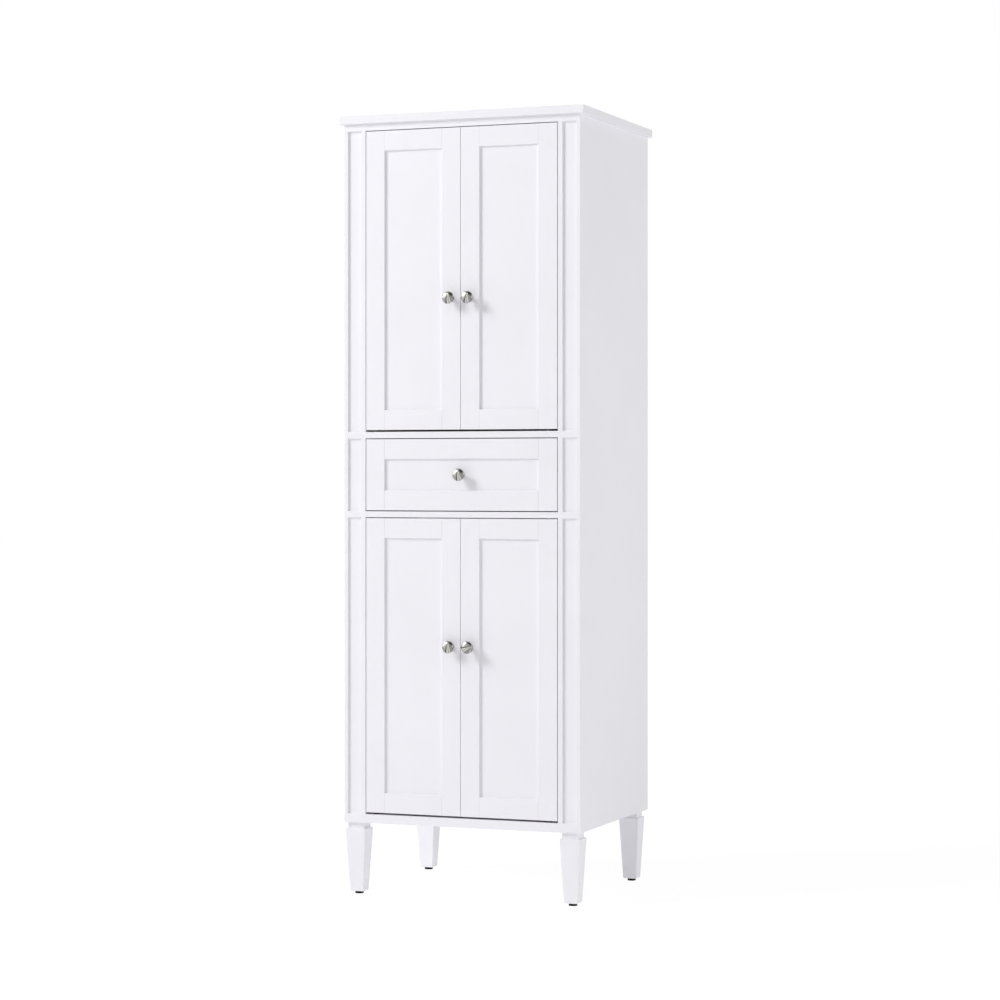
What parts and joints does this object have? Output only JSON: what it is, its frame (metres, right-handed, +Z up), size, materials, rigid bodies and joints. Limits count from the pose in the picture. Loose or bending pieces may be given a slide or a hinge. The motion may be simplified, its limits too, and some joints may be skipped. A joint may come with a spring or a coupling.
{
  "type": "bathroom linen cabinet",
  "caption": "Tall white bathroom linen cabinet on tapered legs, with inset framed doors above and below a drawer, sunk pilasters and round metal knobs.",
  "frame": {"origin": "on the floor, under the middle of the bounding box", "axes": "+Z up; +X to the right as seen from the front; +Y to the back, so the doors face -Y"},
  "size_m": [0.612, 0.522, 1.829],
  "materials": {
    "white_lacquer": "satin lacquer",
    "inside_board": "matt lacquer",
    "back_board": "matt laminate",
    "drawer_wood": "clear lacquer",
    "satin_nickel": "satin",
    "zinc_steel": "zinc plated",
    "nylon": "moulded",
    "clear_rubber": "soft moulded",
    "black_plastic": "moulded"
  },
  "bodies": {
    "cabinet": {"top_panel": "white_lacquer", "left_side_panel": "white_lacquer", "right_side_panel": "white_lacquer", "left_stile": "white_lacquer", "right_stile": "white_lacquer", "top_rail": "white_lacquer", "upper_cross_rail": "white_lacquer", "lower_cross_rail": "white_lacquer", "bottom_rail": "white_lacquer", "front_left_leg": "white_lacquer", "front_right_leg": "white_lacquer", "rear_left_leg": "white_lacquer", "rear_right_leg": "white_lacquer", "bottom_panel": "inside_board", "lower_divider": "inside_board", "upper_divider": "inside_board", "wall_rail": "inside_board", "upper_shelf": "inside_board", "lower_shelf": "inside_board", "door_stops": "inside_board", "slide_packers": "inside_board", "back_panel": "back_board", "slide_outer_members": "zinc_steel", "leg_bolts": "zinc_steel", "hinge_pins": "zinc_steel", "shelf_pins": "zinc_steel", "hinge_washers": "nylon", "door_bumpers": "clear_rubber", "feet": "black_plastic"},
    "lower_left_door": {"lower_left_door_stiles": "white_lacquer", "lower_left_door_rails": "white_lacquer", "lower_left_door_panel": "white_lacquer", "lower_left_door_knob": "satin_nickel", "lower_left_door_bushes": "nylon"},
    "lower_right_door": {"lower_right_door_stiles": "white_lacquer", "lower_right_door_rails": "white_lacquer", "lower_right_door_panel": "white_lacquer", "lower_right_door_knob": "satin_nickel", "lower_right_door_bushes": "nylon"},
    "upper_left_door": {"upper_left_door_stiles": "white_lacquer", "upper_left_door_rails": "white_lacquer", "upper_left_door_panel": "white_lacquer", "upper_left_door_knob": "satin_nickel", "upper_left_door_bushes": "nylon"},
    "upper_right_door": {"upper_right_door_stiles": "white_lacquer", "upper_right_door_rails": "white_lacquer", "upper_right_door_panel": "white_lacquer", "upper_right_door_knob": "satin_nickel", "upper_right_door_bushes": "nylon"},
    "drawer": {"drawer_front_stiles": "white_lacquer", "drawer_front_rails": "white_lacquer", "drawer_front_panel": "white_lacquer", "drawer_knob": "satin_nickel", "drawer_sides": "drawer_wood", "drawer_box_front": "drawer_wood", "drawer_box_back": "drawer_wood", "drawer_bottom": "drawer_wood", "slide_inner_members": "zinc_steel"},
    "slide_middle": {"slide_middle_members": "zinc_steel"}
  },
  "joints": [
    {"name": "lower_left_door_hinge", "type": "hinge", "parent": "cabinet", "child": "lower_left_door", "pos_m": [-0.2162, -0.227, 0.53975], "axis": [0, 0, -1], "range_deg": [0, 110]},
    {"name": "lower_right_door_hinge", "type": "hinge", "parent": "cabinet", "child": "lower_right_door", "pos_m": [0.2162, -0.227, 0.53975], "axis": [0, 0, 1], "range_deg": [0, 110]},
    {"name": "upper_left_door_hinge", "type": "hinge", "parent": "cabinet", "child": "upper_left_door", "pos_m": [-0.2162, -0.227, 1.44175], "axis": [0, 0, -1], "range_deg": [0, 110]},
    {"name": "upper_right_door_hinge", "type": "hinge", "parent": "cabinet", "child": "upper_right_door", "pos_m": [0.2162, -0.227, 1.44175], "axis": [0, 0, 1], "range_deg": [0, 110]},
    {"name": "drawer_slide", "type": "slide", "parent": "cabinet", "child": "drawer", "axis": [0, -1, 0], "range_m": [0, 0.37]},
    {"name": "slide_middle_travel", "type": "slide", "parent": "cabinet", "child": "slide_middle", "axis": [0, -1, 0], "range_m": [0, 0.185]}
  ],
  "couplings": [
    {"joint": "slide_middle_travel", "follows": "drawer_slide", "ratio": 0.5}
  ]
}
